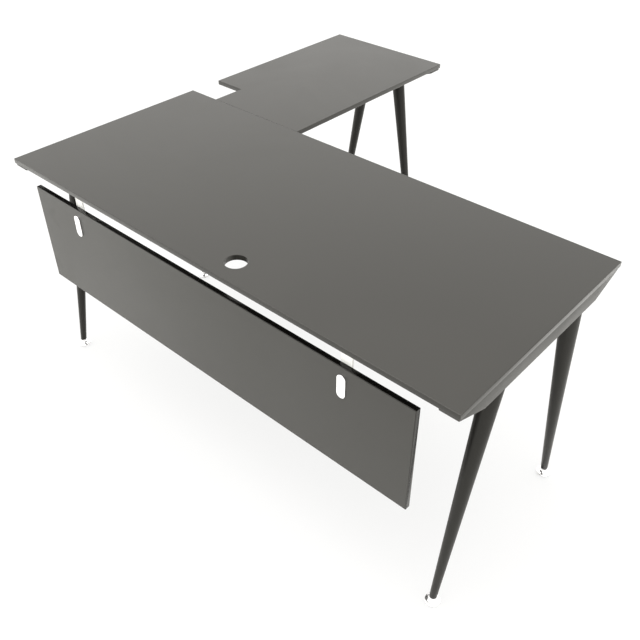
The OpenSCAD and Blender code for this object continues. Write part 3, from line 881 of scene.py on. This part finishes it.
def threadedStud(name, low, high, sides=28, ringsPerPitch=6):
    # a rod of many rings whose radius follows the thread's helix, with coned ends
    centre = (low + high) / 2
    rings = int((high.z - low.z) / feet["pitch"] * ringsPerPitch)
    rod = startRod(name, centre, feet["stud"], high.z - low.z, sides=sides)
    pick(rod, "EDGE", lambda e: runOf(e)[2] > hair)
    bpy.ops.mesh.subdivide_edgering(number_cuts=rings)
    leaveEdit()
    for corner in rod.data.vertices:
        flat = Vector((corner.co.x - centre.x, corner.co.y - centre.y, 0))
        if flat.length < hair:
            continue
        around = math.atan2(flat.y, flat.x) / (2 * math.pi)
        phase = (corner.co.z / feet["pitch"] - around) % 1.0
        depth = feet["threadDepth"] * abs(2 * phase - 1)
        endCone = min(high.z - corner.co.z, corner.co.z - low.z)
        depth = max(depth, min(feet["threadEnd"], feet["threadEnd"] - endCone))
        shrink = (feet["stud"] - depth) / flat.length
        corner.co.x = centre.x + flat.x * shrink
        corner.co.y = centre.y + flat.y * shrink
    return rod


def soleProfile(bottom, top):
    radius = feet["sole"]
    tread = [(radius * share, bottom + rise) for share, rise in feet["tread"]]
    edge = [(radius - 0.0006, bottom), (radius - 0.0001, bottom + 0.0004), (radius, bottom + 0.001)]
    return tread + edge + [(radius, top)]


# one foot is made about the vertical axis at zero, and copied under each leg
padLow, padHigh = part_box("pad_front_left")
studLow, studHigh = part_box("stud_front_left")
soleLow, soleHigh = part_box("sole_front_left")
footParts = [
    ("footPad", "pad_", turned("pad", padProfile(padLow.z, padHigh.z)), chromePlate, "chrome", 30),
    ("footStud", "stud_", threadedStud("stud", Vector((0, 0, studLow.z)), Vector((0, 0, studHigh.z))),
     zincPlate, "zinc", 50),
    ("footSole", "sole_", turned("sole", soleProfile(soleLow.z, soleHigh.z)), soleRubber, "sole", 30),
]
for corner in legTurns:
    place = Matrix.Translation(underLeg(corner))
    for name, node, master, material, slot, angle in footParts:
        piece = twinOf(master, name + labelOf(corner), place)
        finishPiece(piece, material, [node + corner], "foot_" + corner, noArrisMark, angle)
for part in footParts:
    bpy.data.objects.remove(part[2])
print("levelling feet made")


# beams: rounded square tubes with welded, drilled flanges and screw lugs

beams = {"width": 0.050, "height": 0.030, "wall": 0.002, "round": 0.003, "flange": 0.004, "ear": 0.025,
         "earHole": 0.0125, "corner": 0.004, "boltHole": 0.0042, "arris": 0.0004, "worn": 0.0011,
         "weld": 0.0028, "weldRound": 0.001, "tuck": 0.0005}


def beamFlange(start, bottom, top):
    # a plate with two drilled ears, open where the tube ends
    half = beams["width"] / 2
    reach = half + beams["ear"]
    inner = half - beams["wall"]
    flange = startBlock("flange", (start, -reach, bottom), (start + beams["flange"], reach, top))
    pick(flange, "EDGE", lambda e: runOf(e)[0] > hair)
    bpy.ops.mesh.bevel(offset=beams["corner"], segments=5)
    leaveEdit()
    opening = startBlock("opening", (start - 0.01, -inner, bottom + beams["wall"]),
                         (start + 0.01, inner, top - beams["wall"]))
    holes = [
        drillBit((start, side * (half + beams["earHole"]), (bottom + top) / 2), beams["boltHole"], "X")
        for side in (-1, 1)
    ]
    return cutWith(flange, [opening] + holes)


def weldBead(x, y, middleZ):
    length = beams["height"] - 2 * beams["weldRound"]
    bead = startRod("weld", (x, y, middleZ), beams["weld"], length, sides=12)
    bevelEdges(bead, beams["weldRound"], 2)
    return bead


def tubeBeam(name, node, turn, lugSpots, lugSide, sideHoles=()):
    # drawn along X about Y = 0, then turned and moved to its place
    low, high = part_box(node)
    length = (high - low)[1 if turn else 0]
    half = beams["width"] / 2
    top = high.z
    bottom = top - beams["height"]
    middleZ = (bottom + top) / 2
    tube = startBlock(name, (beams["tuck"], -half, bottom), (length - beams["tuck"], half, top))
    pick(tube, "EDGE", lambda e: runOf(e)[0] > hair)
    bpy.ops.mesh.bevel(offset=beams["round"], segments=4)
    leaveEdit()
    pick(tube, "FACE", lambda f: abs(f.normal.x) > 0.9)
    bpy.ops.mesh.delete(type="FACE")
    leaveEdit()
    giveWall(tube, beams["wall"])
    if sideHoles:
        cutWith(tube, [drillBit((u, half, middleZ), beams["boltHole"], "Y") for u in sideHoles])
    parts = []
    for start in (0, length - beams["flange"]):
        parts.append(beamFlange(start, bottom, top))
        weldX = start + (beams["flange"] if start == 0 else 0)
        parts += [weldBead(weldX, side * half, middleZ) for side in (-1, 1)]
    wall = beams["wall"] / 2
    parts += [lug(u, lugSide * (half - wall), lugSide, top, wall) for u in lugSpots]
    joinInto(tube, parts)
    bevelEdges(tube, beams["arris"], 2, 50)
    middle = (low + high) / 2
    corner = (middle.x, low.y, 0) if turn else (low.x, middle.y, 0)
    tube.data.transform(Matrix.Translation(corner) @ Matrix.Rotation(math.radians(turn), 4, "Z"))
    return finishPiece(tube, powderCoat, [node], arrisWidth=beams["worn"])


def middleAcross(node, axis):
    low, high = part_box(node)
    return (low[axis] + high[axis]) / 2


lugReach = beams["width"] / 2 + lugs["hole"]
railClear = 0.72  # the rails' own screws stand outside this
longBeams = (("frontBeam", "front_beam", 1), ("rearBeam", "rear_beam", -1))
shortBeams = (("returnBeamLeft", "return_beam_left", 1), ("returnBeamRight", "return_beam_right", -1))
for name, node, side in longBeams:
    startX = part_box(node)[0].x
    row = nearRail(screwCentres, 1, middleAcross(node, 1) + side * lugReach, rowWidth)
    holes = [centre.x - startX for centre, size in solidsOf("rivet_nuts") if node == "rear_beam"]
    tubeBeam(name, node, 0, sorted(p.x - startX for p in row if abs(p.x) < railClear), side, holes)
for name, node, side in shortBeams:
    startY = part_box(node)[0].y
    row = nearRail(screwCentres, 0, middleAcross(node, 0) - side * lugReach, rowWidth)
    tubeBeam(name, node, 90, sorted(p.y - startY for p in row if p.y > startY), side)
print("beams made")


# fasteners: each kind is made once at zero, with its head down and its shank up, then copied

fasteners = {
    # a screw head's rings: radius, and height over its lowest point
    "screwHead": ((0.0016, 0), (0.0028, 0.0001), (0.0039, 0.0006), (0.00465, 0.0014), (0.00475, 0.002),
                  (0.00475, 0.003)),
    "screwShank": 0.002, "screwCore": 0.72, "screwPitch": 0.0016, "screwRise": 0.0007, "screwTip": 0.0015,
    "recess": 0.0011, "recessReach": 0.0026125, "recessDepth": 0.0016,
    "boltHead": 0.0075, "boltHeadHeight": 0.0053, "boltDish": 0.0012, "boltShank": 0.004, "arris": 0.0005,
    # nuts: radius over the corners, height and hole
    "nut": (0.0075, 0.0065, 0.00405), "smallNut": (0.0046, 0.004, 0.00255),
    "rivet": 0.0055, "rivetBody": 0.0047, "rivetInside": 0.003, "rivetHole": 0.00405, "rivetLength": 0.010,
}


def woodScrew(length):
    shank = fasteners["screwShank"]
    headHeight = fasteners["screwHead"][-1][1]
    profile = list(fasteners["screwHead"]) + [(shank, headHeight)]
    threadZ = headHeight + 0.002
    while threadZ < length - 0.004:
        profile += [(shank * fasteners["screwCore"], threadZ), (shank, threadZ + fasteners["screwRise"])]
        threadZ += fasteners["screwPitch"]
    profile += [(shank * 0.5, length - fasteners["screwTip"]), (0.0002, length)]
    screw = turned("woodScrew", profile, 20)
    half = fasteners["recess"] / 2
    reach = fasteners["recessReach"]
    depth = fasteners["recessDepth"]
    slots = [startBlock("slot", (-x, -y, -0.001), (x, y, depth)) for x, y in ((reach, half), (half, reach))]
    return cutWith(screw, slots)


def hexBolt(length):
    height = fasteners["boltHeadHeight"]
    shank = fasteners["boltShank"]
    head = startRod("hexBolt", (0, 0, height / 2), fasteners["boltHead"], height, sides=6)
    bevelEdges(head, fasteners["arris"], 2)
    pick(head, "FACE", lambda f: f.normal.z < -0.9)
    bpy.ops.mesh.inset(thickness=fasteners["boltDish"])
    bpy.ops.transform.translate(value=(0, 0, fasteners["boltDish"] / 4))
    leaveEdit()
    low = Vector((-shank, -shank, height - 0.001))
    high = Vector((shank, shank, length))
    return joinInto(head, [threadedStud("shank", low, high, 16, 4)])


def hexNut(radius, height, hole):
    nut = startRod("hexNut", (0, 0, height / 2), radius, height, sides=6)
    bevelEdges(nut, fasteners["arris"], 2)
    return cutWith(nut, [drillBit((0, 0, height / 2), hole)])


def rivetNut(length):
    rim = fasteners["rivet"]
    body = fasteners["rivetBody"]
    inside = fasteners["rivetInside"]
    profile = [(inside, 0), (rim, 0), (rim, length * 0.35)]
    profile += [(body, length * 0.4), (body, length), (inside, length)]
    nut = turned("rivetNut", profile, 24)
    return cutWith(nut, [drillBit((0, 0, length / 2), fasteners["rivetHole"])])


def wayOf(centre, size):
    # bolts point inwards from the end rails; everything upright points up
    longest = list(size).index(max(size))
    return [(-1 if centre.x > 0 else 1, 0, 0), (0, -1, 0), (0, 0, 1)][longest]


def fasten(name, node, master, way=None):
    # the master's head stands at zero and its shank points up; each copy is turned to its own way
    places = []
    for centre, size in solidsOf(node):
        direction = Vector(way or wayOf(centre, size))
        headEnd = centre - direction * abs(size.dot(direction)) / 2
        turn = direction.to_track_quat("Z", "Y").to_matrix().to_4x4()
        places.append(Matrix.Translation(headEnd) @ turn)
    return finishPiece(copiesOf(master, name, places), zincPlate, [node], arrisWidth=noArrisMark)


def lengthOf(node):
    return max(solidsOf(node)[0][1])


fasten("topScrews", "top_screws", woodScrew(lengthOf("top_screws")))
fasten("hangerScrews", "hanger_screws", woodScrew(lengthOf("hanger_screws")))
fasten("beamBolts", "beam_bolts", hexBolt(lengthOf("beam_bolts")))
fasten("legBolts", "leg_bolts", hexBolt(lengthOf("leg_bolts")), (0, 0, -1))
fasten("beamNuts", "beam_nuts", hexNut(*fasteners["nut"]))
fasten("panelNuts", "panel_nuts", hexNut(*fasteners["smallNut"]), (0, 1, 0))
fasten("rivetNuts", "rivet_nuts", rivetNut(fasteners["rivetLength"]), (0, -1, 0))
print("fasteners made")


# flat plates: under the seam, and inside the rails over the legs

plates = {"corner": 0.003, "arris": 0.0003, "worn": 0.0007, "screwHole": 0.0026, "boltHole": 0.0042,
          "jointHoles": (-0.045, -0.020, 0.020, 0.045), "legHoles": (-0.012, 0.012)}


def drilledPlate(name, node, holes, holeRadius):
    # one plate is cut out flat, then copied to each place and turned where it lies the other way
    found = solidsOf(node)
    size = found[0][1]
    plate = startBlock(name, size * -0.5, size * 0.5)
    pick(plate, "EDGE", lambda e: runOf(e)[2] > hair)
    bpy.ops.mesh.bevel(offset=plates["corner"], segments=4)
    leaveEdit()
    spots = [(hole, 0, 0) if size.x > size.y else (0, hole, 0) for hole in holes]
    cutWith(plate, [drillBit(spot, holeRadius) for spot in spots])
    bevelEdges(plate, plates["arris"], 2, 50)
    places = []
    for centre, other in found:
        turn = 0 if abs(other.x - size.x) < 0.001 else math.pi / 2
        places.append(Matrix.Translation(centre) @ Matrix.Rotation(turn, 4, "Z"))
    row = copiesOf(plate, name, places)
    return finishPiece(row, zincPlate, [node], arrisWidth=plates["worn"])


drilledPlate("jointPlates", "joint_plates", plates["jointHoles"], plates["screwHole"])
drilledPlate("legSpreaderPlates", "leg_spreader_plates", plates["legHoles"], plates["boltHole"])
print("plates made")


# CAD nodes that keep their shape: the cones inside the legs

def repaint(node, material):
    part = frame["nodes"][node]
    part.data.materials.clear()
    part.data.materials.append(material)


for node in ("leg_top_inserts", "leg_end_plugs"):
    repaint(node, zincPlate)
print("inserts and plugs painted")


# floor, sky and camera

studio = {
    "floorSize": 40.0, "floorTone": (0.73, 0.73, 0.72), "floorSeen": (0.13, 0.13, 0.13), "seenGlow": 0.79,
    "even": 1.63, "patch": 5.6, "patchEdge": 0.76, "patchWay": (-0.18, -0.02, 0.983),
    "tint": (1.0, 0.99, 0.965),
}


def paleFloor():
    # the camera sees the floor evenly pale, while the desk is lit and mirrored by the shaded floor
    clearSelection()
    bpy.ops.mesh.primitive_plane_add(size=studio["floorSize"], location=(0, 0, -0.0005))
    floor = settle("studioFloor")
    material, tree, surface, place = startMaterial("floorPaint")
    noise = addNode(tree, "ShaderNodeTexNoise", in_Vector=place, in_Scale=1.5, in_Detail=2.0)
    level = addNode(tree, "ShaderNodeMapRange", in_0=noise.outputs["Fac"], in_3=0.6, in_4=0.7)
    tree.links.new(level.outputs[0], surface.inputs["Roughness"])
    seen = tree.nodes.new("ShaderNodeLightPath").outputs["Is Camera Ray"]
    tone = addNode(tree, "ShaderNodeMix", data_type="RGBA", in_0=seen,
                   in_6=studio["floorTone"] + (1,), in_7=studio["floorSeen"] + (1,))
    tree.links.new(tone.outputs[2], surface.inputs["Base Color"])
    glow = addNode(tree, "ShaderNodeMath", operation="MULTIPLY", in_0=seen, in_1=studio["seenGlow"])
    tree.links.new(glow.outputs[0], surface.inputs["Emission Strength"])
    surface.inputs["Specular IOR Level"].default_value = 0.0
    surface.inputs["Emission Color"].default_value = (1, 1, 0.995, 1)
    floor.data.materials.append(material)


def softSky():
    # an even pale surround with a brighter patch above and to the left; the camera sees plain white
    world = bpy.data.worlds.new("softSky")
    bpy.context.scene.world = world
    world.use_nodes = True
    tree = world.node_tree
    tree.nodes.clear()
    out = tree.nodes.new("ShaderNodeOutputWorld")
    glow = tree.nodes.new("ShaderNodeBackground")
    way = tree.nodes.new("ShaderNodeTexCoord").outputs["Generated"]
    facing = addNode(tree, "ShaderNodeVectorMath", operation="DOT_PRODUCT", in_0=way,
                     in_1=studio["patchWay"])
    level = addNode(tree, "ShaderNodeMapRange", in_0=facing.outputs["Value"], in_1=studio["patchEdge"],
                    in_2=1.0, in_3=studio["even"], in_4=studio["patch"])
    seen = tree.nodes.new("ShaderNodeLightPath").outputs["Is Camera Ray"]
    plain = addNode(tree, "ShaderNodeMix", in_0=seen, in_2=level.outputs[0], in_3=1.0)
    tree.links.new(plain.outputs[0], glow.inputs["Strength"])
    glow.inputs["Color"].default_value = studio["tint"] + (1,)
    tree.links.new(glow.outputs[0], out.inputs["Surface"])


paleFloor()
softSky()

view = {"place": (1.29078, -1.70443, 1.82485), "azimuth": 41.805, "elevation": 38.733, "roll": 0.119,
        "lens": 43.296}


def placeCamera():
    lens = bpy.data.cameras.new("camera")
    lens.lens = view["lens"]
    lens.sensor_width = 36
    camera = bpy.data.objects.new("camera", lens)
    bpy.context.scene.collection.objects.link(camera)
    aim = Euler((math.radians(90 - view["elevation"]), 0, math.radians(view["azimuth"]))).to_matrix()
    aim = aim @ Matrix.Rotation(math.radians(view["roll"]), 3, "Z")
    camera.location = view["place"]
    camera.rotation_euler = aim.to_euler()
    bpy.context.scene.camera = camera


placeCamera()
bpy.context.scene.view_settings.view_transform = "Standard"
print("studio ready")
